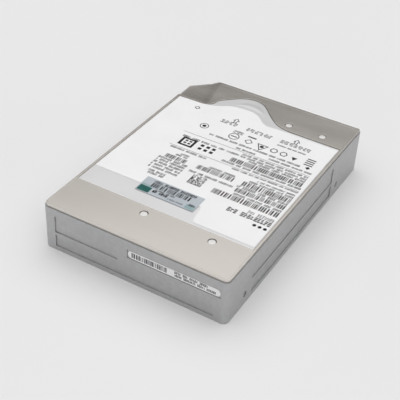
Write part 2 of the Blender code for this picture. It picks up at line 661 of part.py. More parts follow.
def spindle():
    """The fixed shaft and stator, and the hub that turns with its magnet, discs, spacers and clamp."""
    cylinder("spindle_shaft", SHAFT_RADIUS, SHAFT_BOTTOM, COVER_BOTTOM - GAP, 20, STEEL, SPINDLE)
    teeth = []
    pitch = 360.0 / STATOR_TEETH
    for i in range(STATOR_TEETH):
        middle = i * pitch
        teeth += arc((0, 0), 9.2, middle - 15, middle + 15, 3)
        teeth += [polar(8.2, middle + 15), polar(6.2, middle + 11)]
        teeth += [polar(6.2, middle + pitch - 11), polar(8.2, middle + pitch - 15)]
    bore = circle((0, 0), MOTOR_SLEEVE_RADIUS + 0.5, 18)
    plate("stator", [teeth, bore], *STATOR_LEVELS, COPPER, SPINDLE)
    bore, skirt = SHAFT_RADIUS + SHAFT_PLAY, HUB_RADIUS - 0.1
    hub = [
        (bore, HUB_TOP), (HUB_RADIUS, HUB_TOP), (HUB_RADIUS, HUB_FLANGE[1]),
        (HUB_FLANGE_RADIUS, HUB_FLANGE[1]), (HUB_FLANGE_RADIUS, HUB_FLANGE[0]),
        (skirt, HUB_FLANGE[0]), (skirt, HUB_SKIRT_BOTTOM),
        (HUB_WELL_RADIUS, HUB_SKIRT_BOTTOM), (HUB_WELL_RADIUS, HUB_WELL_TOP),
        (MOTOR_SLEEVE_RADIUS, HUB_WELL_TOP), (MOTOR_SLEEVE_RADIUS, MOTOR_SLEEVE_BOTTOM),
        (bore, MOTOR_SLEEVE_BOTTOM),
    ]  # fmt: skip
    turned("spindle_hub", hub, 28, MACHINED, SPINDLE)
    magnet_radii = (HUB_WELL_RADIUS - 1.4, HUB_WELL_RADIUS - GAP)
    magnet = ring_profile(magnet_radii, (HUB_SKIRT_BOTTOM + GAP, HUB_WELL_TOP - 1.0))
    turned("rotor_magnet", magnet, 28, MAGNET, SPINDLE)
    for i in range(DISC_COUNT):
        low = DISC_BOTTOM + i * DISC_PITCH
        high = low + DISC_THICKNESS
        disc = ring_profile((DISC_BORE, DISC_RADIUS), (low, high))
        turned(f"platter_{i + 1}", disc, 40, DISC, SPINDLE)
        if i < DISC_COUNT - 1:
            spacer = ring_profile((DISC_BORE, SPACER_RADIUS), (high + 0.03, low + DISC_PITCH - 0.03))
            turned(f"spacer_{i + 1}", spacer, 20, MACHINED, SPINDLE)
    bore, bottom, top = SHAFT_RADIUS + 0.8, HUB_TOP + 0.05, HUB_TOP + 1.3
    clamp = [
        (bore, top), (SPACER_RADIUS - 0.7, top), (SPACER_RADIUS - 0.1, top - 0.4),
        (SPACER_RADIUS - 0.1, top - 0.8), (HUB_RADIUS - 0.1, top - 0.8),
        (HUB_RADIUS - 0.2, bottom), (bore, bottom),
    ]  # fmt: skip
    turned("disc_clamp", clamp, 28, STEEL, SPINDLE)


def ring_profile(radii, levels):
    """The profile of a plain ring."""
    (inner, outer), (low, high) = radii, levels
    return [(inner, high), (outer, high), (outer, low), (inner, low)]


def arm_block():
    """The machined block: a column round the pivot, one arm for each disc gap and the coil fork."""
    bore = BEARING_RADII[1] + GAP
    column = ring_profile((bore, BLOCK_RADIUS), (BLOCK_BOTTOM, BLOCK_TOP))
    block = turned("arm_block", column, 28, MACHINED, PIVOT)
    block.rotation_euler.z = math.radians(ARM_DIRECTION)
    root, root_half, tip_half = bore + 0.4, 5.0, 2.9
    arm = [
        (root, -root_half), (ARM_REACH, -tip_half), (ARM_REACH + 1, 0.0), (ARM_REACH, tip_half),
        (root, root_half),
    ]  # fmt: skip
    window = [(13.0, -2.2), (25.0, -1.3), (25.0, 1.3), (13.0, 2.2)]
    swage = circle((SWAGE_REACH, 0.0), SWAGE_RADIUS, 10)
    for i in range(ARM_COUNT):
        middle = FIRST_ARM + i * DISC_PITCH
        levels = middle - ARM_THICKNESS / 2, middle + ARM_THICKNESS / 2
        join(block, plate(f"arm_{i}", [arm, window, swage], *levels, None, PIVOT, ARM_DIRECTION))
    levels = STACK_MIDDLE - FORK_HALF_THICKNESS, STACK_MIDDLE + FORK_HALF_THICKNESS
    join(block, plate("fork", [fork_outline()], *levels, None, PIVOT, ARM_DIRECTION))
    nose = sector(root, NOSE_REACH, NOSE_DIRECTION, NOSE_HALF_ANGLE, 2)
    join(block, plate("latch_nose", [nose], *levels, None, PIVOT))


def fork_outline():
    """The fork that holds the coil between its two tines, opposite the arms."""
    side, cup = COIL_HALF_ANGLE, COIL_INNER - 1
    half = [polar(FORK_REACH, 180 - side - 8), polar(FORK_REACH, 180 - side - 2.5)]
    half += [polar(cup, 180 - side - 4), polar(cup, 180)]
    other = [(x, -y) for x, y in reversed(half[:-1])]
    return [(-4.0, 6.6), *half, *other, (-4.0, -6.6), (-6.9, -1.0), (-6.9, 1.0)]


def head_stack():
    """Everything that swings on the pivot, and the shaft that it swings on."""
    top = COVER_BOTTOM - GAP
    cylinder("pivot_shaft", PIVOT_SHAFT_RADIUS, FLOOR + 0.05, top, 20, STEEL, PIVOT)
    turned("pivot_bearing", ring_profile(BEARING_RADII, BEARING_LEVELS), 24, STEEL, PIVOT)
    arm_block()
    low, high = STACK_MIDDLE - COIL_HALF_THICKNESS, STACK_MIDDLE + COIL_HALF_THICKNESS
    edge = sector(COIL_INNER, COIL_OUTER, 0.0, COIL_HALF_ANGLE, 6)
    inner, outer = COIL_INNER + COIL_WINDING, COIL_OUTER - COIL_WINDING
    hole = sector(inner, outer, 0.0, COIL_HALF_ANGLE - 9, 4)
    plate("voice_coil", [edge, hole], low, high, COPPER, PIVOT, COIL_DIRECTION)
    for i in range(ARM_COUNT):
        sides = [side for side in (-1, 1) if 0 <= i + min(side, 0) < DISC_COUNT]
        head_pair(i, sides)


def head_pair(i, sides):
    """The suspensions of one arm, each with its head, swaged together through the arm's tip."""
    middle = FIRST_ARM + i * DISC_PITCH
    inner = ARM_THICKNESS / 2 + SUSPENSION_GAP
    outer = inner + SUSPENSION_THICKNESS
    inside = outer - SUSPENSION_THICKNESS / 2  # where the joined shapes end inside the beam
    root, bend = SWAGE_REACH - 3, SWAGE_REACH + 4
    half = [(root, 2.4), (bend, 2.4), (HEAD_REACH, 0.6), (TAB_REACH, 0.3)]
    beam = half + [(x, -y) for x, y in reversed(half)]
    shapes = []
    for side in sides:
        low, high = sorted((middle + side * inner, middle + side * outer))
        shapes.append(("beam", beam, low, high))
    slider = [(HEAD_REACH - 1.2, -0.5), (HEAD_REACH, -0.5), (HEAD_REACH, 0.5), (HEAD_REACH - 1.2, 0.5)]
    for side in sides:
        low, high = sorted((middle + side * inside, middle + side * (outer + SLIDER_THICKNESS - 0.06)))
        shapes.append(("slider", slider, low, high))
    ends = [middle + side * inside for side in sides]
    if len(ends) == 1:
        ends.append(middle - sides[0] * ARM_THICKNESS / 2)
    boss = circle((SWAGE_REACH, 0.0), SWAGE_RADIUS - 0.4, 10)
    shapes.append(("boss", boss, min(ends), max(ends)))
    pair = None
    for count, (kind, outline, low, high) in enumerate(shapes):
        if pair is None:
            pair = plate(f"head_pair_{i + 1}", [outline], low, high, STEEL, PIVOT, ARM_DIRECTION)
        else:
            name = f"{kind}_{i}_{count}"
            join(pair, plate(name, [outline], low, high, None, PIVOT, ARM_DIRECTION))


def voice_coil_motor():
    """Two yoke plates on two posts, each with a magnet facing the coil."""
    middle = COIL_DIRECTION + SWING / 2
    plan = sector(*YOKE_RADII, 0.0, YOKE_HALF_ANGLE, 12)
    magnet = sector(*MAGNET_RADII, 0.0, MAGNET_HALF_ANGLE, 8)
    lower = plate("lower_yoke", [plan], *LOWER_YOKE_LEVELS, YOKE, PIVOT, middle)
    plate("upper_yoke", [plan], *UPPER_YOKE_LEVELS, YOKE, PIVOT, middle)
    low, high = LOWER_YOKE_LEVELS[1] + 0.05, UPPER_YOKE_LEVELS[0] - 0.05
    plate("lower_magnet", [magnet], low, low + MAGNET_THICKNESS, MAGNET, PIVOT, middle)
    plate("upper_magnet", [magnet], high - MAGNET_THICKNESS, high, MAGNET, PIVOT, middle)
    for name, side in (("yoke_post_near", -1), ("yoke_post_far", 1)):
        x, y = polar(YOKE_POST_AT, middle + side * YOKE_POST_ANGLE)
        at = (PIVOT[0] + x, PIVOT[1] + y)
        join(lower, cylinder(name, 1.6, LOWER_YOKE_LEVELS[1] - 1, high, 10, at=at))


def load_ramp():
    """A comb beside the discs: the tabs of the parked heads lie between its fins."""
    start, depth, foot = TAB_REACH + 0.7, 4.2, FLOOR + 0.05
    near, far, top = -3.4, 2.4, 21.9
    ramp = box("load_ramp", (start, near, foot), (start + depth, far, top), IVORY, PIVOT, ARM_DIRECTION)
    for i in range(DISC_COUNT):
        middle = DISC_BOTTOM + DISC_THICKNESS / 2 + i * DISC_PITCH
        low = (TAB_REACH - 1.5, near, middle - 0.37)
        high = (start + 1, far - 1.2, middle + 0.37)
        join(ramp, box(f"fin_{i}", low, high, None, PIVOT, ARM_DIRECTION))


def actuator_latch():
    """A lever on a cast post: a shock swings its hook in front of the arm block's nose."""
    reach = math.dist(LATCH_AT, LATCH_HOOK)
    tail, half, hook = -5.0, 2.6, 1.6
    lever = [
        (tail, 1.0 - half), (0.0, -half), (reach - hook - 0.6, 1.1 - half), (reach - hook, -half),
        (reach, -half), (reach, 0.2), (reach - 2.0, half / 2), (0.0, half), (tail, half - 1.0),
    ]  # fmt: skip
    aim = math.degrees(math.atan2(LATCH_HOOK[1] - LATCH_AT[1], LATCH_HOOK[0] - LATCH_AT[0]))
    bore = circle((0.0, 0.0), LATCH_POST_RADIUS + 0.25, 12)
    plate("actuator_latch", [lever, bore], *LATCH_LEVELS, PLASTIC, LATCH_AT, aim + LATCH_REST)


def flex_and_filters():
    """The ribbon from the feedthrough to the arm block, the filter and the desiccant."""
    way = [(5.9, 36.0), (1.5, 38.2), (-3.5, 38.0), (-8.0, 35.5), (-13.2, 36.4), (-13.4, 42.0)]
    way = smooth(way, 4)
    half = 0.13
    left, right = [], []
    for i, (x, y) in enumerate(way):
        (x0, y0), (x1, y1) = way[max(i - 1, 0)], way[min(i + 1, len(way) - 1)]
        length = math.dist((x0, y0), (x1, y1))
        across_x, across_y = (y0 - y1) / length * half, (x1 - x0) / length * half
        left.append((x + across_x, y + across_y))
        right.append((x - across_x, y - across_y))
    plate("flex_circuit", [left + right[::-1]], 8.9, 19.5, FLEX)
    foot = FLOOR + 0.05
    box("recirculation_filter", (-45.5, 28.0, foot), (-39.5, 44.0, 20.0), FILTER)
    pack = rounded_box((-37.5, 49.5), (-19.0, 60.5), 2.0, 3)
    plate("desiccant_pack", [pack], foot, 19.0, FILTER)


base_casting()
covers()
labels()
electronics()
spindle()
head_stack()
voice_coil_motor()
load_ramp()
actuator_latch()
flex_and_filters()
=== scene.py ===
import json
import math
import random

import bmesh
import bpy
from mathutils import Matrix, Vector
from mathutils.bvhtree import BVHTree
from mathutils.geometry import convex_hull_2d


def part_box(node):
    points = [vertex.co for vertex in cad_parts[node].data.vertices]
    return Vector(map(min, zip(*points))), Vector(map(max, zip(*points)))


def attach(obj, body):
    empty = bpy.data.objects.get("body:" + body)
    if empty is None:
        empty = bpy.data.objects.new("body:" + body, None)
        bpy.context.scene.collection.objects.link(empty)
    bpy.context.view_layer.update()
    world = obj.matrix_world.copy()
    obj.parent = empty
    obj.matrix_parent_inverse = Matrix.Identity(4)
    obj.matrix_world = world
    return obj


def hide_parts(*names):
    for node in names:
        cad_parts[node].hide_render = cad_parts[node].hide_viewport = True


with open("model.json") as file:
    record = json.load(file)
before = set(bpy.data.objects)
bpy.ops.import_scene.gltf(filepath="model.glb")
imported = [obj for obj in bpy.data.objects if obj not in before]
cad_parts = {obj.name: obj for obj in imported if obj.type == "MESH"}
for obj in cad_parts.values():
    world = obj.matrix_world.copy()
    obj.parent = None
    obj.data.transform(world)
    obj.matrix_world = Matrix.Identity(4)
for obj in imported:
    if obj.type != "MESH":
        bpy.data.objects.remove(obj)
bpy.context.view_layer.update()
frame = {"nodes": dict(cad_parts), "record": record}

# The looks of a sealed 3.5-inch hard disk drive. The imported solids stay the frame: pieces here round
# their edges, print their labels, and add the fine parts that stand on them.
# The frame: origin at the centre of the footprint, +Y to the connector end, +Z to the label. Sizes
# below are in millimetres, and MM turns them into metres as each mesh is made.

MM = 0.001
NODES = frame["nodes"]
CASING = "casing"


def box_mm(node):
    """A CAD node's lowest and highest corners, in millimetres."""
    low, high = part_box(node)
    return low / MM, high / MM


BASE_LOW, BASE_HIGH = box_mm("base_casting")
LID_HIGH = box_mm("outer_lid")[1]
FILM_LOW, FILM_HIGH = box_mm("label_film")
PAPER_HIGH = box_mm("label_paper")[1]
STICKER_HIGH = box_mm("security_sticker")[1]
FRONT_LOW, FRONT_HIGH = box_mm("front_label")
BOARD_LOW = box_mm("circuit_board")[0]
NEAR = BASE_LOW.y
FAR = BASE_HIGH.y
SIDE = BASE_HIGH.x

# The lid's round recesses: the place of each, y from the front edge, and their floor
DIMPLES = ((-6.4, 20.0), (30.6, 20.1), (16.2, 128.0), (36.0, 128.2))
DIMPLE_FLOOR = 25.75
FILM_BORDER_REACH = 22.0
RECESS_NEAR = 25.2
RECESS_SIDE = 49.0

# Threaded mounting holes: radius, where each opens, and how deep the thread goes
HOLE_RADIUS = 1.7
SIDE_HOLES = ((45.0, 6.35), (-56.6, 6.35))
BOTTOM_HOLES = ((47.625, 32.22), (47.625, -43.98), (-47.625, 32.22), (-47.625, -43.98))
THREAD_DEPTH = 3.2
THREAD_PITCH = 0.8

# Board screws, and the connector's blade: its top and its ends along X
BOARD_SCREWS = ((-38.5, 7.5), (38.5, 7.5), (38.5, 56.0), (-38.5, 56.0))
BLADE_TOP = 4.4
BLADE_ENDS = (-42.6, -8.4)

# Camera, standing where it sees the drive as from a desk's edge, and its roll in degrees
CAMERA_AT = (0.1767, -0.3326, 0.2905)
CAMERA_AIM = (-0.0024, -0.0071, 0.0060)
CAMERA_ROLL = 3.2
CAMERA_LENS = 81.5


# Materials


def new_material(name):
    material = bpy.data.materials.new(name)
    material.use_nodes = True
    tree = material.node_tree
    return material, tree, tree.nodes["Principled BSDF"]


def noise(tree, scale, detail=4.0, stretch=(1.0, 1.0, 1.0)):
    """Noise on the object's own place, with about this many features in a metre."""
    coordinates = tree.nodes.new("ShaderNodeTexCoord")
    mapping = tree.nodes.new("ShaderNodeMapping")
    mapping.inputs["Scale"].default_value = stretch
    texture = tree.nodes.new("ShaderNodeTexNoise")
    texture.inputs["Scale"].default_value = scale
    texture.inputs["Detail"].default_value = detail
    tree.links.new(coordinates.outputs["Object"], mapping.inputs["Vector"])
    tree.links.new(mapping.outputs["Vector"], texture.inputs["Vector"])
    return texture.outputs["Fac"]


def tones(tree, factor, dark, light, low=0.35, high=0.65):
    """A colour between two tones."""
    ramp = tree.nodes.new("ShaderNodeValToRGB")
    ramp.color_ramp.elements[0].position = low
    ramp.color_ramp.elements[1].position = high
    ramp.color_ramp.elements[0].color = (*dark, 1.0)
    ramp.color_ramp.elements[1].color = (*light, 1.0)
    tree.links.new(factor, ramp.inputs["Fac"])
    return ramp.outputs["Color"]


def spread(tree, factor, low, high):
    """A number between low and high, from a factor of about a third to two thirds."""
    node = tree.nodes.new("ShaderNodeMapRange")
    node.inputs["From Min"].default_value = 0.3
    node.inputs["From Max"].default_value = 0.7
    node.inputs["To Min"].default_value = low
    node.inputs["To Max"].default_value = high
    tree.links.new(factor, node.inputs["Value"])
    return node.outputs["Result"]


def relief(tree, shader, height, depth_mm, strength=1.0):
    """Raises the surface by a height pattern."""
    node = tree.nodes.new("ShaderNodeBump")
    node.inputs["Strength"].default_value = strength
    node.inputs["Distance"].default_value = depth_mm * MM
    tree.links.new(height, node.inputs["Height"])
    tree.links.new(node.outputs["Normal"], shader.inputs["Normal"])


def surface(name, dark, light, rough, metallic=0.0, tone=60.0, grain=3000.0, depth_mm=0.01,
            stretch=(1.0, 1.0, 1.0), coat=0.0, specular=0.5):
    """A material with mottled colour and roughness and a fine grain."""
    material, tree, shader = new_material(name)
    shader.inputs["Metallic"].default_value = metallic
    shader.inputs["Coat Weight"].default_value = coat
    shader.inputs["Specular IOR Level"].default_value = specular
    mottle = noise(tree, tone, 6.0, stretch)
    tree.links.new(tones(tree, mottle, dark, light), shader.inputs["Base Color"])
    tree.links.new(spread(tree, mottle, *rough), shader.inputs["Roughness"])
    relief(tree, shader, noise(tree, grain, 3.0, stretch), depth_mm)
    return material


MATERIALS = {
    "lid_metal": surface(
        "satin_lid", (0.655, 0.627, 0.590), (0.695, 0.667, 0.630), (0.22, 0.265), 1.0, 90.0, 5200.0,
        0.004, (0.25, 1.0, 1.0)),
    "cover_metal": surface(
        "inner_cover", (0.58, 0.58, 0.60), (0.66, 0.66, 0.67), (0.30, 0.40), 1.0, 60.0, 4000.0, 0.005),
    "cast_aluminium": surface(
        "cast_aluminium", (0.47, 0.475, 0.48), (0.52, 0.525, 0.53), (0.44, 0.52), 1.0, 420.0,
        3200.0, 0.015),
    "gasket_rubber": surface("gasket", (0.02, 0.02, 0.02), (0.04, 0.04, 0.04), (0.7, 0.85)),
    "grey_film": surface(
        "milky_film", (0.775, 0.775, 0.79), (0.815, 0.815, 0.83), (0.28, 0.34), 0.57, 40.0, 900.0, 0.004),
    "label_white": surface(
        "label_paper", (0.845, 0.85, 0.865), (0.875, 0.88, 0.895), (0.38, 0.48), 0.0, 50.0, 2500.0, 0.004,
        coat=0.05),
    "sticker_blue_grey": surface(
        "security_sticker", (0.42, 0.465, 0.51), (0.47, 0.515, 0.56), (0.28, 0.36), 0.0, 120.0, 1500.0,
        0.004, coat=0.15),
    "board_green": surface(
        "solder_mask", (0.008, 0.055, 0.035), (0.014, 0.080, 0.050), (0.28, 0.36), 0.0, 300.0, 2500.0,
        0.01, coat=0.3),
    "insulator_foam": surface("foam_pad", (0.03, 0.03, 0.03), (0.08, 0.08, 0.08), (0.8, 0.95), 0.0,
                              900.0, 2500.0, 0.08),
    "chip_black": surface("moulded_chip", (0.015, 0.015, 0.016), (0.030, 0.030, 0.032), (0.45, 0.6),
                          0.0, 500.0, 5000.0, 0.01),
    "black_plastic": surface("black_plastic", (0.012, 0.012, 0.013), (0.025, 0.025, 0.027),
                             (0.35, 0.5), 0.0, 300.0, 3500.0, 0.01),
    "ramp_plastic": surface("ramp_plastic", (0.70, 0.66, 0.55), (0.78, 0.75, 0.66), (0.3, 0.45)),
    "screw_steel": surface("plain_steel", (0.47, 0.47, 0.49), (0.52, 0.52, 0.54), (0.28, 0.35), 1.0,
                           900.0, 4000.0, 0.005),
    "yoke_nickel": surface("nickel_plate", (0.59, 0.58, 0.55), (0.63, 0.62, 0.59), (0.28, 0.34), 1.0,
                           500.0, 3000.0, 0.005),
    "magnet_nickel": surface("magnet_plate", (0.45, 0.45, 0.46), (0.49, 0.49, 0.50), (0.2, 0.26), 1.0,
                             500.0, 3000.0, 0.005),
    "disc_mirror": surface("disc_mirror", (0.58, 0.585, 0.60), (0.63, 0.635, 0.65), (0.03, 0.06), 1.0,
                           20.0, 500.0, 0.0005),
    "machined_aluminium": surface("machined_aluminium", (0.70, 0.70, 0.72), (0.75, 0.75, 0.77),
                                  (0.28, 0.34), 1.0, 700.0, 5000.0, 0.006, (1.0, 0.2, 1.0)),
    "coil_copper": surface("coil_copper", (0.55, 0.22, 0.10), (0.75, 0.36, 0.18), (0.28, 0.4), 1.0,
                           300.0, 6000.0, 0.03, (1.0, 0.1, 1.0)),
    "flex_amber": surface("flex_amber", (0.45, 0.20, 0.03), (0.62, 0.32, 0.06), (0.28, 0.4), 0.0,
                          200.0, 2500.0, 0.01),
    "filter_white": surface("felt_white", (0.72, 0.72, 0.70), (0.88, 0.88, 0.86), (0.85, 0.95), 0.0,
                            900.0, 3500.0, 0.15),
}
INK = surface("label_ink", (0.010, 0.010, 0.012), (0.022, 0.022, 0.026), (0.5, 0.65), 0.0, 300.0,
              specular=0.25)
TEAL = surface("teal_patch", (0.004, 0.080, 0.072), (0.014, 0.125, 0.115), (0.3, 0.45), 0.0, 400.0,
               specular=0.3)
PALE_TEAL = surface("pale_teal_patch", (0.24, 0.35, 0.37), (0.30, 0.42, 0.43), (0.3, 0.4), 0.0, 400.0)
# Painted shade: the dark line drawn along the film's far edge, at the step there.
FILM_EDGE_SHADE = surface("film_edge_shade_line", (0.10, 0.095, 0.09), (0.16, 0.15, 0.14), (0.4, 0.5), 0.0, 500.0)
BRIGHT_PLUG = surface("bright_plug", (0.76, 0.755, 0.75), (0.82, 0.815, 0.81), (0.3, 0.4), 0.3,
                      500.0, 3000.0, 0.006)
GOLD = surface("contact_gold", (0.80, 0.52, 0.18), (0.90, 0.64, 0.28), (0.18, 0.26), 1.0, 600.0, 4000.0,
               0.003)
SOLDER = surface("solder", (0.60, 0.60, 0.62), (0.74, 0.74, 0.76), (0.28, 0.36), 1.0, 900.0, 3000.0,
                 0.01)
TRACE = surface("covered_trace", (0.020, 0.150, 0.095), (0.028, 0.180, 0.115), (0.28, 0.36), 0.0,
                600.0, coat=0.3)


# Making pieces


def add_piece(name, mesh, material, body=CASING):
    """Links a mesh as a visible piece on a body."""
    obj = bpy.data.objects.new(name, mesh)
    bpy.context.scene.collection.objects.link(obj)
    mesh.materials.clear()
    mesh.materials.append(material)
    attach(obj, body)
    return obj


def closed_mesh(name, points, faces):
    """A mesh from points in millimetres, its faces turned outwards."""
    mesh = bpy.data.meshes.new(name)
    mesh.from_pydata([MM * Vector(point) for point in points], [], faces)
    shape = bmesh.new()
    shape.from_mesh(mesh)
    bmesh.ops.recalc_face_normals(shape, faces=shape.faces)
    shape.to_mesh(mesh)
    shape.free()
    return mesh


def skin(name, loops, material, closed=False, body=CASING):
    """A piece through loops of points, as many in each. Its first and last loops are capped, or joined
    where it closes on itself."""
    count = len(loops[0])
    points = [point for loop in loops for point in loop]
    faces = []
    for i in range(len(loops) if closed else len(loops) - 1):
        this, following = i * count, (i + 1) % len(loops) * count
        for j in range(count):
            k = (j + 1) % count
            faces.append((this + j, this + k, following + k, following + j))
    if not closed:
        faces.append(tuple(reversed(range(count))))
        faces.append(tuple(range(len(points) - count, len(points))))
    mesh = closed_mesh(name, points, faces)
    mesh.shade_smooth()
    mesh.set_sharp_from_angle(angle=math.radians(40))
    return add_piece(name, mesh, material, body)


def round_edges(obj, width_mm, segments=3, angle=30.0):
    """Rounds the sharp edges and shades the piece by its faces' sizes."""
    bevel = obj.modifiers.new("edges", "BEVEL")
    bevel.width = width_mm * MM
    bevel.segments = segments
    bevel.limit_method = "ANGLE"
    bevel.angle_limit = math.radians(angle)
    bevel.use_clamp_overlap = True
    bevel.harden_normals = False
    obj.data.shade_smooth()
    weighted = obj.modifiers.new("normals", "WEIGHTED_NORMAL")
    weighted.keep_sharp = True
    return obj


def refined(node, name, width_mm, body=CASING, segments=3):
    """A copy of a CAD node with its flat faces whole and its edges rounded, which replaces it."""
    slot = next(p["material_slot"] for p in frame["record"]["subparts"] if p["node"] == node)
    shape = bmesh.new()
    shape.from_mesh(NODES[node].data)
    bmesh.ops.remove_doubles(shape, verts=shape.verts, dist=1e-6)
    bmesh.ops.dissolve_limit(
        shape, angle_limit=math.radians(0.5), verts=shape.verts, edges=shape.edges
    )
    mesh = bpy.data.meshes.new(name)
    shape.to_mesh(mesh)
    shape.free()
    obj = add_piece(name, mesh, MATERIALS[slot], body)
    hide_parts(node)
    return round_edges(obj, width_mm, segments)


def as_it_is(x, y, level):
    return (x, y, level)


def from_front(x, y, level):
    """A place on the label, with y measured from the front edge."""
    return (x, y + NEAR, level)


class Flat:
    """Closed flat shapes between two levels, gathered into one mesh. `place` turns (x, y, level) in
    millimetres into a point."""

    def __init__(self, low, high, place=as_it_is):
        self.low, self.high = low, high
        self.place = place
        self.points, self.faces = [], []

    def add_ring(self, outline, level):
        first = len(self.points)
        self.points += [self.place(x, y, level) for x, y in outline]
        return list(range(first, len(self.points)))

    def walls(self, lower, upper):
        count = len(lower)
        for i in range(count):
            after = (i + 1) % count
            self.faces.append((lower[i], lower[after], upper[after], upper[i]))

    def fill(self, outline):
        """A solid shape, its outline counter-clockwise and without hollows."""
        lower = self.add_ring(outline, self.low)
        upper = self.add_ring(outline, self.high)
        self.walls(lower, upper)
        self.faces.append(tuple(reversed(lower)))
        self.faces.append(tuple(upper))

    def band(self, outer, inner):
        """A loop between two outlines with as many points each."""
        rings = [self.add_ring(o, z) for o in (outer, inner) for z in (self.low, self.high)]
        outer_low, outer_high, inner_low, inner_high = rings
        self.walls(outer_low, outer_high)
        self.walls(list(reversed(inner_low)), list(reversed(inner_high)))
        self.walls(outer_high, inner_high)
        self.walls(inner_low, outer_low)

    def rectangle(self, x0, y0, x1, y1):
        x0, x1 = min(x0, x1), max(x0, x1)
        y0, y1 = min(y0, y1), max(y0, y1)
        self.fill([(x0, y0), (x1, y0), (x1, y1), (x0, y1)])

    def strip(self, line, width):
        """A strip of this width along a bent line."""
        sides = [[], []]
        for i, corner in enumerate(line):
            before = (corner - line[max(i - 1, 0)]).normalized()
            after = (line[min(i + 1, len(line) - 1)] - corner).normalized()
            along = (before + after).normalized()
            across = Vector((-along.y, along.x))
            next_across = Vector((-after.y, after.x)) if after.length else across
            reach = width / 2 / max(across.dot(next_across), 0.5)
            sides[0].append(corner - across * reach)
            sides[1].append(corner + across * reach)
        self.fill(sides[0] + sides[1][::-1])

    def piece(self, name, material, slot, body=CASING):
        return add_piece(name, closed_mesh(name, self.points, self.faces), material, body)


def circle(x, y, radius, steps=24, start=0.0):
    angles = [2 * math.pi * i / steps + start for i in range(steps)]
    return [(x + radius * math.cos(a), y + radius * math.sin(a)) for a in angles]


def level_ring(x, y, radius, level, steps=32):
    return [(*point, level) for point in circle(x, y, radius, steps)]


def outline_of(node):
    """A CAD node's outline from above, counter-clockwise, for one without hollows."""
    points = [Vector((v.co.x, v.co.y)) / MM for v in NODES[node].data.vertices]
    hull = [points[i] for i in convex_hull_2d(points)]
    line = [p for i, p in enumerate(hull) if (p - hull[i - 1]).length > 0.05]
    area = sum(a.cross(b) for a, b in zip(line, line[1:] + line[:1]))
    return line if area > 0 else line[::-1]


def inset(outline, distance):
    """A counter-clockwise outline drawn inwards by a distance."""
    drawn = []
    for i, corner in enumerate(outline):
        before = (corner - outline[i - 1]).normalized()
        after = (outline[(i + 1) % len(outline)] - corner).normalized()
        inward = Vector((-(before + after).y, (before + after).x)).normalized()
        drawn.append(corner + inward * distance / inward.dot(Vector((-after.y, after.x))))
    return drawn


def divided(outline, longest):
    """The same outline with points added so that no side is longer than this."""
    line = []
    for i, corner in enumerate(outline):
        following = outline[(i + 1) % len(outline)]
        count = max(1, math.ceil((following - corner).length / longest))
        line += [corner.lerp(following, k / count) for k in range(count)]
    return line


# The fine parts of the lid and of the case


def lid_details():
    """The weld bead along the lid's edge, the lip at the recess, and a bright plug in each dimple, in a
    dark rubber ring that also serves as painted shade on the dimple's far wall.
    """
    metal = MATERIALS["lid_metal"]
    shape = bmesh.new()
    shape.from_mesh(NODES["outer_lid"].data)
    lid = BVHTree.FromBMesh(shape)
    shape.free()

    def on_lid(x, y, rise):
        """A point this far above the lid's face."""
        hit = lid.ray_cast(Vector((x * MM, y * MM, 1.0)), Vector((0.0, 0.0, -1.0)))[0]
        return (x, y, hit.z / MM + rise)

    path = [Vector((p.x, min(p.y, FAR - 2.2))) for p in inset(outline_of("outer_lid"), 0.65)]
    path = divided(path, 2.5)
    section = ((-0.25, -0.03), (-0.14, 0.015), (0.0, 0.025), (0.14, 0.015), (0.25, -0.03), (0.0, -0.05))
    loops = [[on_lid(*p, rise) for p in inset(path, d)] for d, rise in section]
    skin("weld_bead", loops, metal, closed=True)

    lip = ((-1.0, -0.02), (-0.92, 0.05), (-0.68, 0.05), (-0.6, -0.02))
    ends = [
        [(x, RECESS_NEAR + NEAR + y, LID_HIGH.z + z) for y, z in lip]
        for x in (-RECESS_SIDE, RECESS_SIDE)
    ]
    skin("recess_lip", ends, metal)

    plug = ((1.8, -0.05), (1.8, 0.08), (1.7, 0.15), (1.3, 0.18), (0.5, 0.19))
    for i, (x, y) in enumerate(DIMPLES):
        # The dark rubber ring is partly painted shade. The plug sits off centre towards the front, so the
        # ring shows as a dark crescent on the dimple's far side, where the wall is in shade.
        seal_and_shade = Flat(DIMPLE_FLOOR - 0.05, DIMPLE_FLOOR + 0.03, from_front)
        seal_and_shade.band(circle(x, y, 2.08, 32), circle(x, y, 1.3, 32))
        seal_and_shade.piece(f"plug_seal_shade_{i + 1}", MATERIALS["gasket_rubber"], "gasket_rubber")
        rings = [
            level_ring(x + 0.06, y + NEAR - 0.24, radius, DIMPLE_FLOOR + z) for radius, z in plug
        ]
        skin(f"lid_plug_{i + 1}", rings, BRIGHT_PLUG)


def film_edge_shade_line():
    """A dark line along the film's far edge: painted shade at the step there."""
    shape = bmesh.new()
    shape.from_mesh(NODES["label_film"].data)
    edge = {
        (round(v.co.x / MM, 3), round(v.co.y / MM, 3))
        for v in shape.verts if v.co.y / MM > FILM_HIGH.y - FILM_BORDER_REACH
    }
    shape.free()
    line = [Vector(point) for point in sorted(edge)]
    # The strip is painted shade along the film's far edge, not a real mark on the film.
    shade_line = Flat(FILM_LOW.z, FILM_HIGH.z + 0.02)
    shade_line.strip(line, 0.5)
    shade_line.piece("film_edge_shade_line", FILM_EDGE_SHADE, "grey_film")


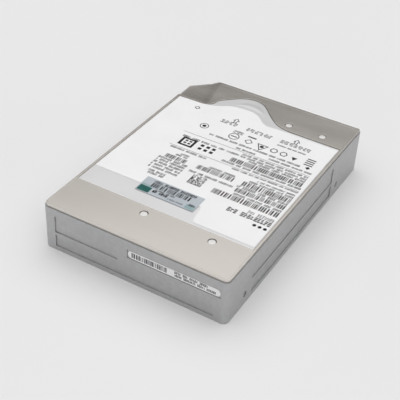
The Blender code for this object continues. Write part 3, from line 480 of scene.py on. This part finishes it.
def film_ridge():
    """A low embossed crescent in the film's lobe, which runs out at both ends."""
    centre, radius, half_width, height = Vector((-9.5, 121.5 + NEAR)), 12.0, 2.9, 0.16
    first, last, steps = math.radians(34), math.radians(136), 36
    loops = []
    for i in range(steps + 1):
        way = i / steps
        angle = first + (last - first) * way
        fade = max(0.05, math.sin(math.pi * way))
        loop = []
        for across in (-1.0, -0.7, -0.4, -0.15, 0.15, 0.4, 0.7, 1.0):
            reach = radius + half_width * fade * across
            rise = height * fade * math.cos(math.pi * across / 2) ** 2
            loop.append((reach, rise + 0.002))
        loop += [(radius + half_width * fade, -0.04), (radius - half_width * fade, -0.04)]
        loops.append([
            (centre.x + r * math.cos(angle), centre.y + r * math.sin(angle), FILM_HIGH.z + z)
            for r, z in loop
        ])
    skin("film_ridge", loops, MATERIALS["grey_film"])


def front_label():
    """The narrow front label, cut with round ends."""
    half = (FRONT_HIGH.z - FRONT_LOW.z) / 2
    middle = FRONT_LOW.z + half
    ends = ((FRONT_HIGH.x - half, -90.0), (FRONT_LOW.x + half, 90.0))
    outline = []
    for x, start in ends:
        for i in range(13):
            angle = math.radians(start + 15.0 * i)
            outline.append((x + half * math.cos(angle), middle + half * math.sin(angle)))
    flat = Flat(FRONT_HIGH.y, FRONT_LOW.y, lambda x, z, y: (x, y, z))
    flat.fill(outline)
    label = flat.piece("front_label_strip", MATERIALS["label_white"], "label_white")
    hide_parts("front_label")


def threads():
    """Thread crests in each mounting hole."""
    root, crest, outer, start = HOLE_RADIUS + 0.02, HOLE_RADIUS - 0.24, HOLE_RADIUS + 0.1, 0.45
    turns = int(THREAD_DEPTH / THREAD_PITCH)
    section = [(outer, start)]
    for i in range(turns):
        depth = start + i * THREAD_PITCH
        section += [(root, depth), (crest, depth + THREAD_PITCH / 2)]
    end = start + turns * THREAD_PITCH
    section += [(root, end), (outer, end)]
    for i, (x, y) in enumerate(BOTTOM_HOLES):
        loops = [level_ring(x, y, radius, depth, 20) for radius, depth in section]
        skin(f"thread_bottom_{i + 1}", loops, MATERIALS["cast_aluminium"], True)
    for side in (-1, 1):
        name = "left" if side < 0 else "right"
        for i, (y, z) in enumerate(SIDE_HOLES):
            loops = [
                [(side * (SIDE - depth), *point) for point in circle(y, z, radius, 20)]
                for radius, depth in section
            ]
            skin(f"thread_{name}_{i + 1}", loops, MATERIALS["cast_aluminium"], True)


# The underside


def star(x, y, radius, level, steps=24):
    """A six-lobed outline, as of a screw's drive."""
    points = []
    for i in range(steps):
        angle = 2 * math.pi * i / steps
        reach = radius * (0.87 + 0.13 * math.cos(6 * angle))
        points.append((x + reach * math.cos(angle), y + reach * math.sin(angle), level))
    return points


def board_screws():
    """Each board screw with a rounded head and a six-lobed drive."""
    for i, (x, y) in enumerate(BOARD_SCREWS):
        node = f"board_screw_{i + 1}"
        low, high = box_mm(node)
        head, under = low.z, low.z + 0.8
        body = (
            (0.7, high.z), (1.1, high.z - 0.4), (1.1, under), (2.4, under), (2.4, head + 0.3),
            (2.25, head + 0.12), (2.0, head),
        )
        loops = [level_ring(x, y, radius, level, 24) for radius, level in body]
        loops += [star(x, y, 1.25, head), star(x, y, 1.2, head + 0.55)]
        screw = skin(f"{node}_head", loops, MATERIALS["screw_steel"])
        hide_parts(node)


# The disc clamp's screws: how many, the circle they stand on, the first one's angle in degrees, and
# the radius and height of each head, whose top edge is chamfered
CLAMP_SCREWS = 6
CLAMP_CIRCLE = 8.8
CLAMP_FIRST_ANGLE = 30
CLAMP_HEAD_RADIUS = 1.5
CLAMP_HEAD_HEIGHT = 0.3
CLAMP_HEAD_CHAMFER = 0.1


def clamp_screws():
    """Screw heads on the disc clamp, which turn with it."""
    low, high = box_mm("disc_clamp")
    middle = (low + high) / 2
    level, top = high.z - 0.1, high.z + CLAMP_HEAD_HEIGHT
    rim = CLAMP_HEAD_RADIUS
    outline = ((rim, level), (rim, top - CLAMP_HEAD_CHAMFER), (rim - CLAMP_HEAD_CHAMFER, top))
    for i in range(CLAMP_SCREWS):
        angle = math.radians(CLAMP_FIRST_ANGLE + 360 // CLAMP_SCREWS * i)
        x = middle.x + CLAMP_CIRCLE * math.cos(angle)
        y = middle.y + CLAMP_CIRCLE * math.sin(angle)
        loops = [level_ring(x, y, radius, z, 24) for radius, z in outline]
        loops += [star(x, y, 0.9, top), star(x, y, 0.85, top - 0.25)]
        skin(f"clamp_screw_{i + 1}", loops, MATERIALS["screw_steel"], body="disc_stack")


TRACE_RUNS = (
    ((-8.0, 20.0), ((-9.0, 0.0), (-6.0, 6.0), (0.0, 16.0), (-8.0, 8.0), (0.0, 9.0)), 9, (-0.75, 0.75)),
    ((8.0, 34.0), ((8.0, 0.0), (7.0, -7.0), (0.0, -12.0), (5.0, -5.0)), 8, (0.75, 0.75)),
    ((-4.0, 12.0), ((-10.0, 0.0), (-5.0, -5.0), (-14.0, 0.0)), 6, (-0.6, -0.9)),
    ((4.0, 44.0), ((6.0, 6.0), (16.0, 0.0), (4.0, -4.0)), 6, (0.75, -0.75)),
    ((-6.0, 42.0), ((-4.0, 4.0), (0.0, 9.0), (-3.0, 3.0)), 7, (-0.8, 0.3)),
    ((10.0, 8.0), ((8.0, 0.0), (4.0, 4.0), (9.0, 0.0)), 5, (-0.75, 0.75)),
)
PAD_GRIDS = (
    ((-30.0, 50.0), 6, 2, 2.4), ((14.0, 52.0), 7, 2, 2.6), ((24.0, 27.0), 3, 5, 2.6),
    ((-38.0, 22.0), 3, 4, 2.4), ((-14.0, 4.0), 5, 1, 2.2), ((16.0, 16.0), 4, 2, 2.4),
)
CLEAR_OF_SCREWS = 4.5


def on_board():
    """Flat shapes on the board's outer side."""
    return Flat(BOARD_LOW.z - 0.03, BOARD_LOW.z + 0.02)


def board_print():
    """Covered traces, through-holes, test pads and contact rings on the board's outer side."""
    rng = random.Random(5)
    traces = on_board()
    for start, legs, count, shift in TRACE_RUNS:
        for i in range(count):
            line = [Vector(start) + i * Vector(shift)]
            for leg in legs:
                line.append(line[-1] + Vector(leg))
            traces.strip(line, 0.34)
    traces.piece("board_traces", TRACE, "board_green")

    pads, holes = on_board(), on_board()
    for (x0, y0), columns, rows, pitch in PAD_GRIDS:
        for i in range(columns * rows):
            x, y = x0 + i % columns * pitch, y0 + i // columns * pitch
            pads.fill(circle(x, y, 0.7, 14))
    for x, y in BOARD_SCREWS:
        pads.band(circle(x, y, 3.3), circle(x, y, 2.6))
    pads.piece("board_pads", GOLD, "board_green")
    for _ in range(150):
        x, y = rng.uniform(-41.0, 41.0), rng.uniform(3.0, 61.0)
        if all(math.dist((x, y), at) > CLEAR_OF_SCREWS for at in BOARD_SCREWS):
            holes.band(circle(x, y, 0.38, 10), circle(x, y, 0.17, 10))
    holes.piece("board_through_holes", SOLDER, "board_green")

    joints = on_board()
    for i in range(22):
        x = BLADE_ENDS[0] + 3.0 + i * 1.27
        joints.rectangle(x, 58.6, x + 0.7, 60.9)
    joints.piece("connector_joints", SOLDER, "board_green")


def connector_contacts():
    """Seven contacts, a gap, and fifteen more on the blade's upper face."""
    contacts = Flat(BLADE_TOP - 0.05, BLADE_TOP + 0.05)
    x = BLADE_ENDS[0] + 1.6
    for count in (7, 15):
        for _ in range(count):
            contacts.rectangle(x, FAR - 6.0, x + 0.8, FAR - 1.2)
            x += 1.27
        x += 1.9
    contacts.piece("connector_contacts", GOLD, "black_plastic")


def seal_foils():
    """Plain foil seals over the service holes in the relief under the motor."""
    level = 0.8
    foil = Flat(level - 0.08, level + 0.05)
    foil.fill(circle(-29.0, -52.0, 5.0, 40))
    foil.fill(circle(31.0, -8.5, 3.6, 32))
    corners = ((34.0, -56.0, -90.0), (34.0, -50.0, 0.0), (20.0, -50.0, 90.0), (20.0, -56.0, 180.0))
    outline = []
    for x, y, start in corners:
        for i in range(7):
            angle = math.radians(start + 15.0 * i)
            outline.append((x + 2.0 * math.cos(angle), y + 2.0 * math.sin(angle)))
    foil.fill(outline)
    foil.piece("seal_foils", MATERIALS["screw_steel"], "screw_steel")


# Print on the labels. It is generic: rows of small dashes for words, random bars and cells, and plain
# shapes. Words run from +X to -X, because the label is read from the connector end.

INK_RISE = 0.02
PATCH_RISE = 0.008
INK_SINK = 0.02


def words(flat, start, end, y0, y1, rng, letter=0.66, weight=0.28):
    """A row of words from start to end: each letter is two or three stacked dashes."""
    height = y1 - y0
    step = -1.0 if end < start else 1.0
    width = height * letter
    thick = height * weight
    x = start
    left_in_word = rng.randint(3, 9)
    while abs(x - start) + width < abs(end - start):
        if left_in_word == 0:
            left_in_word = rng.randint(3, 9)
            x += step * width * 1.1
            continue
        left_in_word -= 1
        rows = rng.choice(((0.0, 0.4, 0.8), (0.0, 0.4, 0.8), (0.1, 0.6), (0.0, 0.4, 0.8)))
        for row in rows:
            shift = rng.choice((0.0, 0.0, 0.0, 0.12, 0.3)) * width
            low = y0 + row * height
            flat.rectangle(x + step * shift, low, x + step * width * 0.86, low + thick)
        x += step * width


def blocks(flat, start, count, y0, y1, rng, pitch=2.6, stroke=0.55):
    """A large word: as many stacks of three dashes, drawn from start towards -X."""
    middle = (y0 + y1 - stroke) / 2
    for i in range(count):
        for low in (y0, middle, y1 - stroke):
            x = start - i * pitch - rng.choice((0.0, 0.0, 0.4))
            length = pitch * rng.choice((0.78, 0.78, 0.55))
            flat.rectangle(x, low, x - length, low + stroke)


def barcode(flat, start, end, y0, y1, rng, module=0.4):
    """Random bars, which hold no code."""
    x = start
    step = -1.0 if end < start else 1.0
    while abs(x - start) < abs(end - start) - 3 * module:
        bar = module * rng.choice((1, 1, 2, 2))
        flat.rectangle(x, y0, x + step * bar, y1)
        x += step * (bar + module * rng.choice((1, 1, 1, 2)))


def cells(flat, x0, y0, size, count, rng):
    """A square of random cells, which holds no code."""
    cell = size / count
    for row in range(count):
        for column in range(count):
            edge = row == 0 or column == 0
            if edge or rng.random() < 0.5:
                x, y = x0 + column * cell, y0 + row * cell
                flat.rectangle(x, y, x + cell * 0.98, y + cell * 0.98)


def arrow(flat, x, y0, y1, width, line):
    """An open arrow that points to +Y."""
    neck = y0 + (y1 - y0) * 0.45
    stem = width * 0.24
    outer = [(x - stem, y0), (x + stem, y0), (x + stem, neck), (x + width / 2, neck), (x, y1),
             (x - width / 2, neck), (x - stem, neck)]
    inner = [(x - stem + line, y0 + line), (x + stem - line, y0 + line), (x + stem - line, neck + line),
             (x + width / 2 - 2 * line, neck + line), (x, y1 - 1.5 * line),
             (x - width / 2 + 2 * line, neck + line), (x - stem + line, neck + line)]
    flat.band(outer, inner)


BARCODES = (
    (47.0, 10.0, 52.0, 56.0), (47.0, 19.0, 59.0, 62.4), (47.0, 19.0, 65.2, 69.0),
    (15.5, -7.0, 65.0, 68.6), (-12.0, -25.0, 65.0, 68.4), (46.0, 4.0, 80.2, 84.0),
)
SMALL_WORDS = (
    (47.0, 20.0, 56.6, 58.0), (47.0, 19.0, 63.0, 64.6), (47.0, 22.0, 69.5, 70.9),
    (15.0, 0.0, 69.0, 70.4), (-13.0, -20.0, 69.2, 70.5), (-13.0, -19.0, 71.0, 72.3),
    (18.0, -8.0, 60.9, 62.4), (47.0, 26.0, 71.8, 73.0), (47.0, 10.0, 74.7, 75.9),
    (-5.0, -27.0, 74.4, 75.8), (47.0, 2.0, 78.0, 79.4), (46.0, 14.0, 84.6, 86.0),
    (46.0, -27.0, 86.6, 88.0), (46.0, 8.0, 88.8, 90.1), (14.0, 2.0, 92.1, 93.4),
    (46.0, 20.0, 92.6, 93.9), (38.0, -16.0, 95.5, 96.9), (0.0, -6.0, 104.6, 105.7),
    (0.0, -6.0, 106.1, 107.2), (36.0, 19.0, 107.0, 108.0),
)
COLUMN_WORDS = [(-9.5, -27.0, y, y + 1.5) for y in (53.4, 55.9, 58.3, 60.7, 62.9)]
BOLD_WORDS = (
    (47.5, 23.5, 43.8, 46.8), (-14.5, -25.0, 48.4, 49.9), (-14.5, -25.0, 50.4, 51.9),
)
LARGE_WORDS = ((37.0, 7, 110.2, 113.0), (14.0, 6, 110.2, 113.0), (-7.0, 4, 110.2, 113.0))
RULES = ((47.0, -28.0, 76.6), (46.0, -28.0, 91.0))
ARROWS = (27.0, -9.5)


def paper_print():
    """Everything printed on the white label."""
    rng = random.Random(7)
    top = PAPER_HIGH.z
    ink = Flat(top - INK_SINK, top + INK_RISE, from_front)
    for row in SMALL_WORDS:
        words(ink, *row, rng)
    for row in COLUMN_WORDS:
        words(ink, *row, rng)
    for row in BOLD_WORDS:
        words(ink, *row, rng, 0.6, 0.27)
    words(ink, 47.5, 33.0, 47.7, 49.8, rng, 0.6, 0.2)
    for start, count, y0, y1 in LARGE_WORDS:
        blocks(ink, start, count, y0, y1, rng)
    for x in ARROWS:
        arrow(ink, x, 113.2, 117.8, 4.0, 0.42)
    for start, end, y in RULES:
        ink.rectangle(start, y, end, y + 0.22)
    ink.piece("label_words", INK, "label_white")

    bars = Flat(top - INK_SINK, top + INK_RISE, from_front)
    for row in BARCODES:
        barcode(bars, *row, rng)
    cells(bars, -3.0, 52.4, 7.8, 16, rng)
    bars.piece("label_barcodes", INK, "label_white")
    symbols(rng)


def symbols(rng):
    """Plain shapes in the places of a label's marks."""
    top = PAPER_HIGH.z
    marks = Flat(top - INK_SINK, top + INK_RISE, from_front)
    for x in (41.0, 43.8, 46.6):
        marks.fill(circle(x, 41.2, 0.95, 16))
    marks.band(circle(-21.5, 101.4, 2.5), circle(-21.5, 101.4, 2.05))
    marks.fill(circle(-21.5, 101.4, 1.1))
    marks.band(circle(-3.3, 101.4, 3.0), circle(-3.3, 101.4, 2.5))
    marks.rectangle(-5.1, 101.0, -1.5, 101.8)
    marks.band(circle(5.6, 101.4, 2.4, 4), circle(5.6, 101.4, 1.8, 4))
    marks.rectangle(3.0, 105.3, 8.0, 106.3)
    marks.band(circle(13.6, 101.0, 3.9, 3, math.pi / 6), circle(13.6, 101.0, 2.9, 3, math.pi / 6))
    marks.fill(circle(13.6, 101.0, 1.2, 6))
    for x in (20.6, 26.2):
        marks.band(circle(x, 101.4, 2.2, 6), circle(x, 101.4, 1.6, 6))
    marks.fill(circle(32.5, 100.8, 1.9, 3, -math.pi / 2))
    marks.fill(circle(42.0, 97.0, 1.3, 4))
    for i in range(4):
        marks.rectangle(38.6, 99.0 + i * 1.8, 43.4, 99.8 + i * 1.8)
    marks.band(circle(-34.0, 115.2, 1.7, 4), circle(-34.0, 115.2, 1.1, 4))
    for i in range(3):
        marks.rectangle(-13.5 + i * 3.4, 80.2, -11.6 + i * 3.4, 82.2)
        marks.rectangle(-13.5 + i * 3.4, 83.4, -11.6 + i * 3.4, 85.4)
    outer = [(-25.0, 79.0), (-16.5, 79.0), (-16.5, 86.6), (-25.0, 86.6)]
    inner = [(-23.6, 80.3), (-17.9, 80.3), (-17.9, 85.3), (-23.6, 85.3)]
    marks.band(outer, inner)
    for x, y in ((-22.6, 81.2), (-20.2, 81.2), (-22.6, 83.4), (-20.2, 83.4)):
        marks.rectangle(x, y, x + 1.5, y + 1.3)
    marks.piece("label_marks", INK, "label_white")


def sticker_print():
    """The security sticker's teal block, pale patch, bars and words."""
    rng = random.Random(11)
    top = STICKER_HIGH.z
    ink = Flat(top - INK_SINK, top + INK_RISE, from_front)
    barcode(ink, 6.2, -16.2, 39.3, 42.7, rng, 0.42)
    words(ink, 8.0, -16.5, 43.1, 44.7, rng, 0.62, 0.34)
    words(ink, -1.0, -12.5, 37.8, 38.8, rng, 0.6, 0.27)
    words(ink, -4.2, -13.2, 35.8, 37.4, rng, 0.75, 0.38)
    words(ink, 5.2, -3.6, 35.0, 36.0, rng, 0.5, 0.2)
    words(ink, 11.0, 6.9, 36.5, 37.9, rng, 0.62, 0.3)
    ink.piece("sticker_print", INK, "sticker_blue_grey")
    block = Flat(top - INK_SINK, top + PATCH_RISE, from_front)
    block.rectangle(-20.4, 34.2, -13.8, 38.6)
    block.piece("sticker_teal_block", TEAL, "sticker_blue_grey")
    patch = Flat(top - INK_SINK, top + PATCH_RISE, from_front)
    patch.rectangle(6.6, 34.0, 11.6, 37.4)
    patch.rectangle(-20.4, 38.9, -14.6, 40.0)
    patch.piece("sticker_pale_patch", PALE_TEAL, "sticker_blue_grey")


def front_print():
    """Bars and words on the narrow label of the front face."""
    rng = random.Random(23)
    outward = FRONT_LOW.y
    ink = Flat(INK_RISE, -INK_SINK, lambda x, z, out: (x, outward - out, z))
    low, high = FRONT_LOW.z, FRONT_HIGH.z
    barcode(ink, FRONT_LOW.x + 2.0, FRONT_LOW.x + 22.0, low + 0.7, high - 0.7, rng, 0.28)
    words(ink, FRONT_LOW.x + 25.0, FRONT_HIGH.x - 2.0, low + 0.7, low + 1.9, rng)
    words(ink, FRONT_LOW.x + 25.0, FRONT_HIGH.x - 6.0, low + 2.4, high - 0.5, rng)
    ink.piece("front_label_print", INK, "label_white")


# Camera, light and floor


def aim(obj, at, target, roll=0.0):
    """Puts an object at a point with its -Z to a target, turned by roll degrees."""
    back = (Vector(at) - Vector(target)).normalized()
    right = Vector((0.0, 0.0, 1.0)).cross(back).normalized()
    up = back.cross(right)
    turn = Matrix((right, up, back)).transposed()
    facing = turn @ Matrix.Rotation(math.radians(roll), 3, "Z")
    obj.matrix_world = Matrix.Translation(at) @ facing.to_4x4()


def camera():
    data = bpy.data.cameras.new("camera")
    data.lens = CAMERA_LENS
    data.clip_start = 0.01
    obj = bpy.data.objects.new("camera", data)
    bpy.context.scene.collection.objects.link(obj)
    aim(obj, CAMERA_AT, CAMERA_AIM, CAMERA_ROLL)
    bpy.context.scene.camera = obj


def area_light(name, at, target, size, watts):
    """A soft light that lights the scene without a bright patch in the metal's reflections."""
    data = bpy.data.lights.new(name, "AREA")
    data.shape = "RECTANGLE"
    data.size, data.size_y = size
    data.energy = watts
    obj = bpy.data.objects.new(name, data)
    obj.visible_glossy = False
    bpy.context.scene.collection.objects.link(obj)
    aim(obj, at, target)


# The sky's tone at each height, from the horizon at 0 to straight above at 1: a pale horizon, a dim
# belt and a bright top
SKY = ((0.0, 0.60), (0.20, 0.60), (0.36, 0.16), (0.54, 0.15), (0.62, 1.0))
SKY_STRENGTH = 1.1
# The soft lights: where each stands and its size, in metres, and its watts
LIGHTS = {
    "overhead": ((-0.2, 0.35, 1.2), (1.5, 1.2), 3.3),
    "fill": ((0.9, -0.7, 0.8), (0.9, 0.9), 1.5),
}


def studio():
    """A pale floor, a pale world that is brighter overhead, and two soft lights."""
    shape = bmesh.new()
    bmesh.ops.create_grid(shape, x_segments=8, y_segments=8, size=4.0)
    mesh = bpy.data.meshes.new("floor")
    shape.to_mesh(mesh)
    shape.free()
    floor = bpy.data.objects.new("floor", mesh)
    bpy.context.scene.collection.objects.link(floor)
    pale = surface("floor", (0.80, 0.80, 0.815), (0.82, 0.82, 0.835), (0.6, 0.7), 0.0, 3.0)
    mesh.materials.append(pale)

    world = bpy.data.worlds.new("studio")
    world.use_nodes = True
    bpy.context.scene.world = world
    tree = world.node_tree
    coordinates = tree.nodes.new("ShaderNodeTexCoord")
    split = tree.nodes.new("ShaderNodeSeparateXYZ")
    tree.links.new(coordinates.outputs["Generated"], split.inputs["Vector"])
    ramp = tree.nodes.new("ShaderNodeValToRGB")
    while len(ramp.color_ramp.elements) < len(SKY):
        ramp.color_ramp.elements.new(0.5)
    for element, (height, tone) in zip(ramp.color_ramp.elements, SKY):
        element.position = height
        element.color = (tone, 0.99 * tone, 0.975 * tone, 1.0)
    tree.links.new(split.outputs["Z"], ramp.inputs["Fac"])
    background = tree.nodes["Background"]
    tree.links.new(ramp.outputs["Color"], background.inputs["Color"])
    background.inputs["Strength"].default_value = SKY_STRENGTH
    for name, (at, size, watts) in LIGHTS.items():
        area_light(name, at, (0.0, 0.0, 0.0), size, watts)


camera()
studio()

SOFT_EDGES = {
    "base_casting": ("base_shell", 0.35), "outer_lid": ("lid_shell", 0.22),
    "interface_connector": ("connector_body", 0.12), "label_film": ("film_sheet", 0.03),
    "label_paper": ("paper_sheet", 0.03), "security_sticker": ("sticker_sheet", 0.03),
    "circuit_board": ("board_sheet", 0.08),
}
for node, (name, width) in SOFT_EDGES.items():
    refined(node, name, width)
for part in frame["record"]["subparts"]:
    node, slot = part["node"], part["material_slot"]
    if node not in SOFT_EDGES:
        for material_slot in NODES[node].material_slots:
            material_slot.material = MATERIALS[slot]
        if not NODES[node].material_slots:
            NODES[node].data.materials.append(MATERIALS[slot])
lid_details()
film_edge_shade_line()
film_ridge()
threads()
board_screws()
clamp_screws()
board_print()
connector_contacts()
seal_foils()
front_label()
paper_print()
sticker_print()
front_print()

bpy.context.scene.view_settings.view_transform = "Standard"
